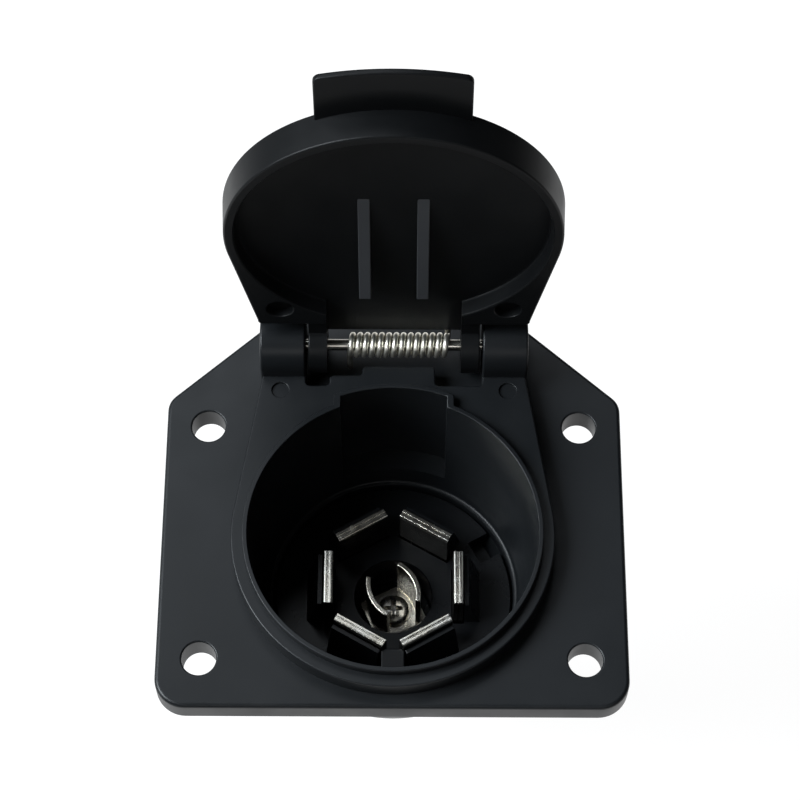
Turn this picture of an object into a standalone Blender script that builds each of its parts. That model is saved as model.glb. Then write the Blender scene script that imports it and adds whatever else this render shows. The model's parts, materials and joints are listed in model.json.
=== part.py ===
"""Flange-mounted seven-way trailer socket with a spring lid, modelled in metres, +Z up.

The origin is the point where the bore axis crosses the flange's mounting (back) face.
+Z runs out of the bore towards the plug, +Y towards the lid hinge, +X along the hinge pin.
"""

import math

import bmesh
import bpy
from mathutils import Matrix, Vector

MM = 0.001                       # all driving dimensions below are in millimetres
GAP = 0.3                        # clearance between separate pieces

# flange
FLANGE_THICK = 5.0
FLANGE_HALF_WIDTH = 38.0
FLANGE_FRONT = -28.6
FLANGE_BACK = 41.0
CHAMFER_START = 25.6             # y where the straight side ends
CHAMFER_HALF_TOP = 20.8          # half width of the flange at its hinge end
CORNER_RADIUS = 5.0
CHAMFER_RADIUS = 3.5
BOLT_X = 31.0
BOLT_FRONT = -20.4
BOLT_BACK = 20.9
BOLT_RADIUS = 2.8
FLANGE_EDGE = 0.7

# collar round the bore, with wings that run back to the hinge
COLLAR_TOP = 8.7
COLLAR_RADIUS = 26.4
COLLAR_EDGE = 0.5
WING_HALF = 22.2
WING_CORNER = 28.7
WING_BACK = 38.4

# bore, keyway and raised lip
LIP_TOP = 10.4
BORE_RADIUS = 23.65
BORE_SEAM = 1.5                  # degrees, so that its facets miss the seams of the body
BORE_WAIST = 23.3                # bore radius where the body starts to taper
LIP_RADIUS = 24.45
KEY_HALF = 8.85
KEY_RADIUS = 25.55
KEY_BOTTOM = -14.0
KEY_LIP_HALF = 10.0
KEY_LIP_RADIUS = 26.3
LEDGE_TOP = -17.6
LEDGE_BORE = 21.4                # bore radius where it meets the ledge
LEDGE_RADIUS = 20.6

# tapered body behind the flange
TUBE_RADIUS = 26.4
TUBE_STRAIGHT = -5.5             # the taper starts here
TUBE_AT_LEDGE = 22.6
TUBE_AT_SEAT = 20.7
TUBE_END_RADIUS = 19.2
TUBE_BOTTOM = -27.5
KEY_BOSS_HALF = 10.2
KEY_BOSS_RADIUS = 27.0
KEY_BOSS_BOTTOM = -15.5
CONE_TOP = -20.1                 # the seat under the carrier starts as a cone
SEAT_Z = -23.0
SEAT_RADIUS = 18.7
REAR_OPENING = 13.9
LUG_X = 23.4
LUG_RADIUS = 3.4
LUG_TOP = -9.0

# hinge
HINGE_Y = 33.5
HINGE_Z = 10.5
KNUCKLE_RADIUS = 5.1
KNUCKLE_INNER = 14.75
KNUCKLE_PROUD = 0.12             # the knuckle's end stands out from the wing's side
PIN_RADIUS = 0.95
PIN_HOLE = 1.25
PIN_HALF = 21.9
HINGE_WELL_FLOOR = 5.25
EAR_INNER = 11.15
EAR_OUTER = 14.25
EAR_RADIUS = 4.7
POCKET_FRONT = 26.8
POCKET_LEFT_INNER = -10.8
POCKET_RIGHT_INNER = 7.1
SEAT_BACK = 30.4                 # raised seat between the two ear pockets
SEAT_LEFT = -5.3
SEAT_RIGHT = 6.7
MARK_X = 19.0
MARK_Y = 25.9
MARK_RADIUS = 1.45
MARK_DEPTH = 0.2

# lid: s runs from the hinge to the finger tab, n from the outer face towards the socket
OPEN_ANGLE = 94.0
LID_CENTRE = 33.5
LID_RADIUS = 26.8
LID_TOP = -4.7
LID_CEILING = -1.7
LID_EDGE = 1.3
LID_CAVITY_RADIUS = 24.9
LID_CORNER_HALF = 22.6
LID_CORNER_S = 8.4
LID_BRIDGE_S = 2.2
LID_BEVEL = 0.45
RIB_X = 4.65
RIB_HALF = 0.95
RIB_START = 16.2
RIB_END = 40.0                   # the wedge runs out on the lid's inner face here
TAB_HALF = 11.8
TAB_END = 68.9
TAB_ARC = 46.0                   # radius of the tab's end
TAB_FACE = -3.5
RECESS_X = 18.6
RECESS_S = 13.0
RECESS_RADIUS = 2.2
RECESS_DEPTH = 1.6
LEG_GROOVE_FLOOR = -2.3
LEG_GROOVE_END = 10.2

# lid spring
WIRE_RADIUS = 0.5
COIL_RADIUS = 1.68
COIL_TURNS = 13
COIL_LEFT = -7.4
COIL_RIGHT = 9.0
COIL_STEPS = 10                  # points per turn

# contact carrier
CARRIER_TOP = -18.9
CARRIER_RADIUS = LEDGE_RADIUS - GAP
CARRIER_EDGE = CONE_TOP + 0.2
CARRIER_BOTTOM = SEAT_Z + GAP
CARRIER_SEAT = SEAT_RADIUS - GAP
HUB_RADIUS = REAR_OPENING - GAP
HUB_BOTTOM = -31.0
WELL_RADIUS = 6.6
WELL_FLOOR = -27.3
POST_INNER = 11.8
POST_TOP_OUTER = 12.8
POST_BASE_OUTER = 15.1
POST_HALF = 4.7
POST_TOP = -11.2
KEY_RIB_HALF = 2.0
KEY_RIB_INNER = 12.4
KEY_RIB_OUTER = 19.8
KEY_RIB_TOP = -11.4
NOTCH_INNER = 16.2
NOTCH_HALF = 2.2
NOTCH_DEPTH = 3.0

# contacts
BLADE_COUNT = 6
BLADE_APOTHEM = 11.05
BLADE_HALF_THICK = 0.75
BLADE_HALF_WIDTH = 4.7
BLADE_TIP = -10.0
BLADE_SHOULDER = HUB_BOTTOM - GAP
TERMINAL_THICK = 1.4
TERMINAL_INNER = 5.6
TERMINAL_HALF = 2.6
SCREW_RADIUS = 8.0               # pitch radius of the six terminal screws
TERMINAL_SCREW_SHANK = 1.3
TERMINAL_SCREW_HEAD = 2.3
TERMINAL_SCREW_HEIGHT = 1.5
TERMINAL_SCREW_LENGTH = 4.6
TERMINAL_SCREW_DEPTH = 3.1
PRONG_TIP = -15.4
PRONG_RADIUS = 7.2
PRONG_THICK = 0.85
PRONG_OFFSET = 4.45
PRONG_HALF_WIDTH = 4.1
PRONG_TURN = 26.0
CENTRE_HEAD_TOP = -24.3
CENTRE_HEAD_RADIUS = 2.8
CENTRE_HEAD_HEIGHT = 1.6
CENTRE_SHANK = 1.5
CENTRE_LENGTH = 9.0
BASE_THICK = 0.8
NUT_RADIUS = 3.1
NUT_HEIGHT = 2.4

# rear cover, grommet and screws
COVER_TOP = TUBE_BOTTOM - GAP
COVER_RIM = 2.6
COVER_RIM_RADIUS = 18.2
COVER_BARREL = 16.6
COVER_SHOULDER = 16.0
COVER_SHOULDER_Z = -33.5
COVER_WALL = 2.2
COVER_NECK = 9.0
COVER_NECK_TOP = -46.5
COVER_BOTTOM = -55.0
OUTLET_RADIUS = 7.0
GROMMET_BORE = 4.9
GROMMET_TOP = -47.8
GROMMET_COLLAR = 3.1
COVER_SCREW_SHANK = 1.3
COVER_SCREW_HEAD = 2.4
COVER_SCREW_HEIGHT = 1.4
COVER_SCREW_LENGTH = 11.0
COVER_SCREW_HOLE = 12.0          # its depth in the body, from the lug's face

BLACK_PLASTIC = (0.018, 0.019, 0.022)
COLLECTION = "trailer_socket"
CUTTERS = "cutters"


# ---------------------------------------------------------------- scene and materials

def clear_scene():
    for existing in list(bpy.data.objects):
        bpy.data.objects.remove(existing, do_unlink=True)
    for existing in list(bpy.data.collections):
        bpy.data.collections.remove(existing)


def new_collection(name):
    collection = bpy.data.collections.new(name)
    bpy.context.scene.collection.children.link(collection)
    return collection


def material(name, colour, roughness, metallic):
    made = bpy.data.materials.new(name)
    made.use_nodes = True
    shader = made.node_tree.nodes["Principled BSDF"]
    shader.inputs["Base Color"].default_value = (*colour, 1.0)
    shader.inputs["Roughness"].default_value = roughness
    shader.inputs["Metallic"].default_value = metallic
    return made


# ---------------------------------------------------------------- shape helpers

def adopt(mesh, name):
    """Wrap a mesh in a new object, smooth on round stretches, in the cutters collection."""
    mesh.name = name
    mesh.shade_smooth()
    mesh.set_sharp_from_angle(angle=math.radians(30.0))
    made = bpy.data.objects.new(name, mesh)
    bpy.data.collections[CUTTERS].objects.link(made)
    made.hide_render = True
    made.display_type = "WIRE"
    return made


def publish(item, finish):
    """Make a helper solid one of the object's pieces."""
    bpy.data.collections[CUTTERS].objects.unlink(item)
    bpy.data.collections[COLLECTION].objects.link(item)
    item.hide_render = False
    item.display_type = "TEXTURED"
    item.data.materials.clear()
    item.data.materials.append(finish)
    return item


def box(name, low, high):
    """A box between two corners given in millimetres."""
    bm = bmesh.new()
    bmesh.ops.create_cube(bm, size=1.0)
    for vertex in bm.verts:
        for axis in range(3):
            middle = 0.5 * (low[axis] + high[axis])
            vertex.co[axis] = (middle + vertex.co[axis] * (high[axis] - low[axis])) * MM
    mesh = bpy.data.meshes.new(name)
    bm.to_mesh(mesh)
    bm.free()
    return adopt(mesh, name)


def rod(name, radius, start, end, sides=24):
    """A cylinder between two points given in millimetres."""
    first = Vector(start) * MM
    last = Vector(end) * MM
    turn = Vector((0.0, 0.0, 1.0)).rotation_difference(last - first).to_matrix().to_4x4()
    bm = bmesh.new()
    bmesh.ops.create_cone(
        bm, cap_ends=True, segments=sides, radius1=radius * MM, radius2=radius * MM,
        depth=(last - first).length, matrix=Matrix.Translation((first + last) / 2) @ turn)
    mesh = bpy.data.meshes.new(name)
    bm.to_mesh(mesh)
    bm.free()
    return adopt(mesh, name)


def arc(centre, radius, start, end, steps):
    """Points along an arc, angles in degrees."""
    points = []
    for step in range(steps + 1):
        angle = math.radians(start + (end - start) * step / steps)
        points.append((centre[0] + radius * math.cos(angle), centre[1] + radius * math.sin(angle)))
    return points


def polar(radius, angle):
    return radius * math.cos(math.radians(angle)), radius * math.sin(math.radians(angle))


def rounded(corners, steps=5):
    """Round a polygon whose corners are (x, y, radius)."""
    points = []
    for index, (x, y, radius) in enumerate(corners):
        if radius == 0.0:
            points.append((x, y))
            continue
        here = Vector((x, y))
        to_last = (Vector(corners[index - 1][:2]) - here).normalized()
        to_next = (Vector(corners[(index + 1) % len(corners)][:2]) - here).normalized()
        half = 0.5 * to_last.angle(to_next)
        centre = here + (to_last + to_next).normalized() * radius / math.sin(half)
        start = here + to_last * radius / math.tan(half) - centre
        finish = here + to_next * radius / math.tan(half) - centre
        sweep = start.angle_signed(finish)
        for step in range(steps + 1):
            turned = Matrix.Rotation(-sweep * step / steps, 2) @ start
            points.append(tuple(centre + turned))
    return points


def slab(name, outline, low, high):
    """A flat outline in x and y, filled and extruded between two heights."""
    data = bpy.data.curves.new(name, "CURVE")
    data.dimensions = "2D"
    data.fill_mode = "BOTH"
    data.extrude = 0.5 * (high - low) * MM
    spline = data.splines.new("POLY")
    spline.points.add(len(outline) - 1)
    for point, (x, y) in zip(spline.points, outline):
        point.co = (x * MM, y * MM, 0.0, 1.0)
    spline.use_cyclic_u = True
    return mesh_from_curve(data, name, Matrix.Translation((0.0, 0.0, 0.5 * (low + high) * MM)))


def mesh_from_curve(data, name, placing):
    holder = bpy.data.objects.new(name, data)
    bpy.data.collections[CUTTERS].objects.link(holder)
    holder.matrix_world = placing
    bpy.context.view_layer.update()
    evaluated = holder.evaluated_get(bpy.context.evaluated_depsgraph_get())
    mesh = bpy.data.meshes.new_from_object(evaluated)
    bm = bmesh.new()
    bm.from_mesh(mesh)
    bmesh.ops.remove_doubles(bm, verts=bm.verts, dist=1e-6)
    bmesh.ops.dissolve_limit(bm, angle_limit=0.001, verts=bm.verts, edges=bm.edges)
    bmesh.ops.recalc_face_normals(bm, faces=bm.faces)
    bm.transform(placing)
    bm.to_mesh(mesh)
    bm.free()
    bpy.data.objects.remove(holder, do_unlink=True)
    return adopt(mesh, name)


def turned(name, profile, steps=48, closed=True):
    """Turn a profile of (radius, height) about Z; its outer side runs from top to bottom."""
    mesh = bpy.data.meshes.new(name)
    edges = [(index, index + 1) for index in range(len(profile) - 1)]
    if closed:
        edges.append((len(profile) - 1, 0))
    mesh.from_pydata([(r * MM, 0.0, z * MM) for r, z in profile], edges, [])
    made = adopt(mesh, name)
    screw = made.modifiers.new("turn", "SCREW")
    screw.steps = steps
    screw.render_steps = steps
    screw.use_merge_vertices = True
    screw.merge_threshold = 0.00001
    screw.use_smooth_shade = True
    return made


def round_edges(item, width, segments=2, angle=40.0):
    bevel = item.modifiers.new("round", "BEVEL")
    bevel.width = width * MM
    bevel.segments = segments
    bevel.limit_method = "ANGLE"
    bevel.angle_limit = math.radians(angle)
    return item


def combine(item, other, operation):
    change = item.modifiers.new(other.name, "BOOLEAN")
    change.operation = operation
    change.object = other
    return item


def with_operands(item):
    """A piece and the solids joined to it or cut from it, which have to move together."""
    return [item] + [change.object for change in item.modifiers if change.type == "BOOLEAN"]


def turn_about_bore(item, angle):
    for each in with_operands(item):
        each.rotation_euler = (0.0, 0.0, math.radians(angle))


def join(item, *others):
    for other in others:
        combine(item, other, "UNION")


def cut(item, *others):
    for other in others:
        combine(item, other, "DIFFERENCE")


# ---------------------------------------------------------------- outlines

def flange_outline():
    return rounded([
        (-FLANGE_HALF_WIDTH, FLANGE_FRONT, CORNER_RADIUS),
        (FLANGE_HALF_WIDTH, FLANGE_FRONT, CORNER_RADIUS),
        (FLANGE_HALF_WIDTH, CHAMFER_START, CHAMFER_RADIUS),
        (CHAMFER_HALF_TOP, FLANGE_BACK, CHAMFER_RADIUS),
        (-CHAMFER_HALF_TOP, FLANGE_BACK, CHAMFER_RADIUS),
        (-FLANGE_HALF_WIDTH, CHAMFER_START, CHAMFER_RADIUS),
    ])


def tear_outline(radius, corner_half, corner_away, end_away, steps=44):
    """A circle with tangents to two corners on the hinge side, then straight to the end."""
    reach = math.hypot(corner_half, corner_away)
    tangent = math.degrees(math.atan2(corner_away, corner_half) - math.acos(radius / reach))
    points = arc((0.0, 0.0), radius, 180.0 - tangent, 360.0 + tangent, steps)
    points.append((corner_half, corner_away))
    if end_away > corner_away:
        points += [(corner_half, end_away), (-corner_half, end_away)]
    points.append((-corner_half, corner_away))
    return points


def keyed_outline(radius, half, key_radius, steps=56):
    """A circle whose hinge side bulges out into the keyway."""
    start = 180.0 - math.degrees(math.acos(half / radius))
    stop = math.degrees(math.acos(half / radius))
    key_start = math.degrees(math.acos(half / key_radius))
    points = arc((0.0, 0.0), radius, start, 360.0 + stop, steps)
    points += arc((0.0, 0.0), key_radius, key_start, 180.0 - key_start, 8)
    return points


# ---------------------------------------------------------------- pieces

def make_housing(finish):
    housing = slab("socket_housing", flange_outline(), 0.0, FLANGE_THICK)
    round_edges(housing, FLANGE_EDGE)
    collar = slab("collar", tear_outline(COLLAR_RADIUS, WING_HALF, WING_CORNER, WING_BACK),
                  FLANGE_THICK - 3.0, COLLAR_TOP)
    round_edges(collar, COLLAR_EDGE)
    lip = slab("lip", keyed_outline(LIP_RADIUS, KEY_LIP_HALF, KEY_LIP_RADIUS),
               COLLAR_TOP - 1.0, LIP_TOP)
    join(housing, collar, lip, *rear_body())
    inner = KNUCKLE_INNER - 1.0
    outer = WING_HALF + KNUCKLE_PROUD
    for sign in (-1.0, 1.0):
        knuckle = rod("knuckle", KNUCKLE_RADIUS, (sign * inner, HINGE_Y, HINGE_Z),
                      (sign * outer, HINGE_Y, HINGE_Z), 32)
        low, high = sorted((sign * (inner + 0.3), sign * (outer - 0.3)))
        foot = box("knuckle_foot", (low, HINGE_Y - 2.0, FLANGE_THICK - 2.0),
                   (high, HINGE_Y + KNUCKLE_RADIUS - 0.3, HINGE_Z - 0.4))
        join(housing, knuckle, foot)
    cut(housing, *hinge_clearances())
    bore = turned("bore", [
        (0.0, LIP_TOP + 1.0), (BORE_RADIUS, LIP_TOP + 1.0), (BORE_RADIUS, COLLAR_TOP),
        (BORE_WAIST, TUBE_STRAIGHT), (LEDGE_BORE, LEDGE_TOP), (LEDGE_RADIUS, LEDGE_TOP),
        (LEDGE_RADIUS, CONE_TOP), (SEAT_RADIUS, SEAT_Z), (REAR_OPENING, SEAT_Z),
        (REAR_OPENING, TUBE_BOTTOM - 1.0), (0.0, TUBE_BOTTOM - 1.0)], steps=56, closed=False)
    turn_about_bore(bore, BORE_SEAM)
    keyway = slab("keyway", keyed_outline(LEDGE_BORE - 0.6, KEY_HALF, KEY_RADIUS),
                  KEY_BOTTOM, LIP_TOP + 1.0)
    cut(housing, bore, keyway)
    for x in (-BOLT_X, BOLT_X):
        for y in (BOLT_FRONT, BOLT_BACK):
            cut(housing, rod("bolt_hole", BOLT_RADIUS, (x, y, -1.0), (x, y, FLANGE_THICK + 1.0), 24))
    cut(housing, rod("pin_hole", PIN_HOLE, (-WING_HALF - 1.0, HINGE_Y, HINGE_Z),
                     (WING_HALF + 1.0, HINGE_Y, HINGE_Z), 16))
    for sign in (-1.0, 1.0):
        cut(housing, rod("ejector_mark", MARK_RADIUS, (sign * MARK_X, MARK_Y, COLLAR_TOP - MARK_DEPTH),
                         (sign * MARK_X, MARK_Y, COLLAR_TOP + 1.0), 20))
    for x in (-LUG_X, LUG_X):
        cut(housing, rod("cover_screw_hole", COVER_SCREW_SHANK + GAP, (x, 0.0, TUBE_BOTTOM - 1.0),
                         (x, 0.0, COVER_TOP - COVER_RIM + COVER_SCREW_HOLE), 12))
    return publish(housing, finish)


def rear_body():
    """The tapered body, the boss round the keyway's foot and the two screw lugs with their webs."""
    body = turned("rear_body", [
        (0.0, 2.5), (TUBE_RADIUS, 2.5), (TUBE_RADIUS, TUBE_STRAIGHT), (TUBE_AT_LEDGE, LEDGE_TOP),
        (TUBE_AT_SEAT, SEAT_Z), (TUBE_END_RADIUS, TUBE_BOTTOM), (0.0, TUBE_BOTTOM)],
        steps=60, closed=False)
    boss = slab("key_boss", keyed_outline(LEDGE_RADIUS, KEY_BOSS_HALF, KEY_BOSS_RADIUS),
                KEY_BOSS_BOTTOM, 2.2)
    solids = [body, boss]
    for sign in (-1.0, 1.0):
        x = sign * LUG_X
        solids.append(rod("lug", LUG_RADIUS, (x, 0.0, TUBE_BOTTOM), (x, 0.0, LUG_TOP), 24))
        low, high = sorted((sign * (TUBE_END_RADIUS - 3.0), x))
        solids.append(box("lug_web", (low, 0.3 - LUG_RADIUS, TUBE_BOTTOM + 0.2),
                          (high, LUG_RADIUS - 0.3, LUG_TOP - 1.0)))
    return solids


def hinge_clearances():
    """The well between the knuckles and the two pockets that the lid's ears swing through."""
    half = KNUCKLE_INNER
    top = LIP_TOP + 8.0
    return [
        box("hinge_well_left", (-half, WING_CORNER, HINGE_WELL_FLOOR),
            (SEAT_LEFT, FLANGE_BACK + 1.0, top)),
        box("hinge_well_right", (SEAT_RIGHT, WING_CORNER, HINGE_WELL_FLOOR),
            (half, FLANGE_BACK + 1.0, top)),
        box("hinge_well_middle", (SEAT_LEFT - 1.0, SEAT_BACK, HINGE_WELL_FLOOR),
            (SEAT_RIGHT + 1.0, FLANGE_BACK + 1.0, top)),
        box("ear_pocket_left", (-half, POCKET_FRONT, HINGE_WELL_FLOOR),
            (POCKET_LEFT_INNER, WING_CORNER + 1.0, top)),
        box("ear_pocket_right", (POCKET_RIGHT_INNER, POCKET_FRONT, HINGE_WELL_FLOOR),
            (half, WING_CORNER + 1.0, top)),
    ]


def make_lid(finish):
    """The lid is drawn shut, in local axes x, -s, -n, then turned open about the hinge."""
    shell = tear_outline(LID_RADIUS, LID_CORNER_HALF, LID_CENTRE - LID_CORNER_S, 0.0)
    lid = slab("lid", [(x, y - LID_CENTRE) for x, y in shell], -LID_EDGE, -LID_TOP)
    round_edges(lid, LID_BEVEL)
    tab = slab("tab", tab_outline(), -TAB_FACE, -LID_TOP - 0.1)
    round_edges(tab, 0.3)
    bridge = box("bridge", (-EAR_OUTER + 0.2, -LID_CORNER_S - 4.0, -LID_CEILING - 0.2),
                 (EAR_OUTER - 0.2, 0.0, -LID_TOP - 0.15))
    join(lid, tab, bridge)
    for sign in (-1.0, 1.0):
        inner, outer = sorted((sign * (EAR_INNER - 0.6), sign * EAR_OUTER))
        join(lid, rod("ear", EAR_RADIUS, (inner, 0.0, 0.0), (outer, 0.0, 0.0), 32),
             box("ear_web", (inner, -LID_CORNER_S - 3.0, -LID_EDGE + 0.7),
                 (outer - 0.04, -0.3, -LID_TOP - 0.3)))
    cavity = slab("cavity", arc((0.0, -LID_CENTRE), LID_CAVITY_RADIUS, 0.0, 360.0, 56)[:-1],
                  -LID_EDGE - 1.0, -LID_CEILING)
    throat = box("throat", (-EAR_INNER, -LID_CORNER_S - 8.0, -EAR_RADIUS - 1.0),
                 (EAR_INNER, EAR_RADIUS + 1.0, -LID_CEILING))
    spring_gap = box("spring_gap", (-EAR_INNER, -LID_BRIDGE_S, -EAR_RADIUS - 1.5),
                     (EAR_INNER, EAR_RADIUS + 1.5, EAR_RADIUS + 1.0))
    cut(lid, cavity, throat, spring_gap)
    for sign in (-1.0, 1.0):
        join(lid, rib(sign * RIB_X))
        cut(lid, rod("recess", RECESS_RADIUS, (sign * RECESS_X, -RECESS_S, -LID_EDGE - 1.0),
                     (sign * RECESS_X, -RECESS_S, -LID_EDGE + RECESS_DEPTH), 20))
    cut(lid, rod("ear_hole", PIN_HOLE, (-EAR_OUTER - 1.0, 0.0, 0.0), (EAR_OUTER + 1.0, 0.0, 0.0), 16))
    cut(lid, box("leg_groove", (COIL_RIGHT - 0.9, -LEG_GROOVE_END, -LEG_GROOVE_FLOOR),
                 (COIL_RIGHT + 0.9, 1.0, -LID_TOP + 1.0)))
    pivot = hinge_axis()
    for each in with_operands(lid):
        each.parent = pivot
    return publish(lid, finish)


def tab_outline():
    """The tab's sides with its end bowed out and its corners rounded, y = -s."""
    centre = TAB_ARC - TAB_END
    reach = math.degrees(math.asin((TAB_HALF - 1.4) / TAB_ARC))
    bow = arc((0.0, centre), TAB_ARC, 270.0 - reach, 270.0 + reach, 8)
    corner = bow[-1][1] + 0.3
    left = rounded([(-TAB_HALF, -LID_CENTRE - 20.0, 0.0), (-TAB_HALF, corner, 1.3), (*bow[0], 0.0)])
    right = rounded([(*bow[-1], 0.0), (TAB_HALF, corner, 1.3), (TAB_HALF, -LID_CENTRE - 20.0, 0.0)])
    return left[:-1] + bow + right[1:]


def rib(x):
    """A wedge on the lid's inner face, tallest towards the hinge, in axes x, -s, -n."""
    sink = 0.5
    slope = (RIB_END - RIB_START) / (LID_EDGE - 0.05 - LID_CEILING)
    side = [(-RIB_START, -LID_EDGE + 0.05), (-RIB_START, -LID_CEILING + sink),
            (-RIB_END - sink * slope, -LID_CEILING + sink)]
    wedge = slab("rib", side, x - RIB_HALF, x + RIB_HALF)
    wedge.data.transform(Matrix(((0, 0, 1, 0), (1, 0, 0, 0), (0, 1, 0, 0), (0, 0, 0, 1))))
    return wedge


def hinge_axis():
    """An empty on the hinge line, turned back so that the lid stands open."""
    pivot = bpy.data.objects.new("hinge_axis", None)
    bpy.data.collections[COLLECTION].objects.link(pivot)
    pivot.location = (0.0, HINGE_Y * MM, HINGE_Z * MM)
    pivot.rotation_euler = (-math.radians(OPEN_ANGLE), 0.0, 0.0)
    return pivot


def make_pin(finish):
    pin = rod("hinge_pin", PIN_RADIUS, (-PIN_HALF, 0.0, 0.0), (PIN_HALF, 0.0, 0.0), 16)
    round_edges(pin, 0.25, 1)
    publish(pin, finish)
    pin.location = (0.0, HINGE_Y * MM, HINGE_Z * MM)
    return pin


def make_spring(finish):
    """A coil round the pin, one leg on the flange and one in the groove on the lid's back."""
    points = [(COIL_LEFT, -COIL_RADIUS - 0.1, HINGE_WELL_FLOOR - HINGE_Z + WIRE_RADIUS + GAP),
              (COIL_LEFT, -COIL_RADIUS, -2.0)]
    total = COIL_TURNS * COIL_STEPS + COIL_STEPS // 2
    for step in range(total + 1):
        angle = math.radians(180.0 - 360.0 * step / COIL_STEPS)
        x = COIL_LEFT + (COIL_RIGHT - COIL_LEFT) * step / total
        points.append((x, COIL_RADIUS * math.cos(angle), COIL_RADIUS * math.sin(angle)))
    lean = math.radians(OPEN_ANGLE)
    for s, n in ((2.6, -3.35), (LEG_GROOVE_END - 0.9, -3.35)):
        points.append((COIL_RIGHT, -s * math.cos(lean) - n * math.sin(lean),
                       s * math.sin(lean) - n * math.cos(lean)))
    data = bpy.data.curves.new("lid_spring", "CURVE")
    data.dimensions = "3D"
    data.bevel_depth = WIRE_RADIUS * MM
    data.bevel_resolution = 2
    data.use_fill_caps = True
    spline = data.splines.new("POLY")
    spline.points.add(len(points) - 1)
    for point, (x, y, z) in zip(spline.points, points):
        point.co = (x * MM, y * MM, z * MM, 1.0)
    spring = mesh_from_curve(data, "lid_spring", Matrix.Identity(4))
    publish(spring, finish)
    spring.location = (0.0, HINGE_Y * MM, HINGE_Z * MM)
    return spring


def spun(item, angle):
    """Turn a helper solid about the bore axis."""
    item.data.transform(Matrix.Rotation(math.radians(angle), 4, "Z"))
    return item


def make_carrier(finish):
    carrier = turned("contact_carrier", [
        (0.0, CARRIER_TOP), (CARRIER_RADIUS, CARRIER_TOP), (CARRIER_RADIUS, CARRIER_EDGE),
        (CARRIER_SEAT, CARRIER_BOTTOM), (HUB_RADIUS, CARRIER_BOTTOM), (HUB_RADIUS, HUB_BOTTOM),
        (0.0, HUB_BOTTOM)],
        steps=48, closed=False)
    for index in range(BLADE_COUNT):
        join(carrier, spun(post("post"), index * 360.0 / BLADE_COUNT))
    join(carrier, spun(box("key_rib", (KEY_RIB_INNER, -KEY_RIB_HALF, CARRIER_TOP - 1.0),
                           (KEY_RIB_OUTER, KEY_RIB_HALF, KEY_RIB_TOP)), -90.0))
    cut(carrier, rod("well", WELL_RADIUS, (0.0, 0.0, WELL_FLOOR), (0.0, 0.0, CARRIER_TOP + 1.0), 32))
    cut(carrier, rod("centre_hole", CENTRE_SHANK + GAP, (0.0, 0.0, HUB_BOTTOM - 1.0),
                     (0.0, 0.0, WELL_FLOOR + 1.0), 16))
    cut(carrier, spun(box("notch", (NOTCH_INNER, -NOTCH_HALF, CARRIER_TOP - NOTCH_DEPTH),
                          (CARRIER_RADIUS + 2.0, NOTCH_HALF, CARRIER_TOP + 1.0)), 30.0))
    reach = BLADE_HALF_THICK + GAP
    side = BLADE_HALF_WIDTH + GAP
    for index in range(BLADE_COUNT):
        angle = index * 360.0 / BLADE_COUNT
        cut(carrier, spun(box("blade_slot", (BLADE_APOTHEM - reach, -side, HUB_BOTTOM - 1.0),
                              (BLADE_APOTHEM + reach, side, POST_TOP + 1.0)), angle))
        x, y = polar(SCREW_RADIUS, angle)
        cut(carrier, rod("terminal_hole", TERMINAL_SCREW_SHANK + GAP, (x, y, HUB_BOTTOM - 1.0),
                         (x, y, HUB_BOTTOM + TERMINAL_SCREW_DEPTH), 12))
    return publish(carrier, finish)


def post(name):
    """The wedge that backs one blade, along +X, thicker at its foot."""
    side = [(POST_INNER, POST_TOP), (POST_TOP_OUTER, POST_TOP),
            (POST_BASE_OUTER, CARRIER_TOP - 1.0), (POST_INNER, CARRIER_TOP - 1.0)]
    wedge = slab(name, side, -POST_HALF, POST_HALF)
    wedge.data.transform(Matrix.Rotation(math.radians(90.0), 4, "X"))
    return wedge


def make_blade(index, finish):
    """A folded strip: the blade stands up, its foot turns in to the terminal screw."""
    inner = BLADE_APOTHEM - BLADE_HALF_THICK
    outer = BLADE_APOTHEM + BLADE_HALF_THICK
    blade = box("contact_blade_%d" % (index + 1), (inner, -BLADE_HALF_WIDTH, BLADE_SHOULDER - 0.5),
                (outer, BLADE_HALF_WIDTH, BLADE_TIP))
    round_edges(blade, 0.45, 2)
    foot = box("blade_foot", (TERMINAL_INNER, -TERMINAL_HALF, BLADE_SHOULDER - TERMINAL_THICK),
               (outer - 0.05, TERMINAL_HALF, BLADE_SHOULDER))
    join(blade, foot)
    cut(blade, rod("foot_hole", TERMINAL_SCREW_SHANK + GAP, (SCREW_RADIUS, 0.0, BLADE_SHOULDER - 3.0),
                   (SCREW_RADIUS, 0.0, BLADE_SHOULDER + 1.0), 12))
    turn_about_bore(blade, index * 360.0 / BLADE_COUNT)
    return publish(blade, finish)


def screw_profile(head_top_radius, shank_radius, head_height, length):
    """Pan head at the top, shank below, for a screw that points down from z = 0."""
    return [(0.0, head_height), (0.72 * head_top_radius, head_height),
            (head_top_radius, 0.55 * head_height), (head_top_radius, 0.0), (shank_radius, 0.0),
            (shank_radius, -length + 0.6), (0.3 * shank_radius, -length), (0.0, -length)]


def make_screw(name, finish, head, shank, head_height, length, place, points_up, sides=20):
    screw = turned(name, screw_profile(head, shank, head_height, length), steps=sides, closed=False)
    cross = [box(name + "_recess_a", (-0.6 * head, -0.22, 0.45 * head_height),
                 (0.6 * head, 0.22, head_height + 0.5)),
             box(name + "_recess_b", (-0.22, -0.6 * head, 0.45 * head_height),
                 (0.22, 0.6 * head, head_height + 0.5))]
    cut(screw, *cross)
    for each in with_operands(screw):
        each.location = Vector(place) * MM
        each.rotation_euler = (math.pi if points_up else 0.0, 0.0, 0.0)
    return publish(screw, finish)


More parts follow.
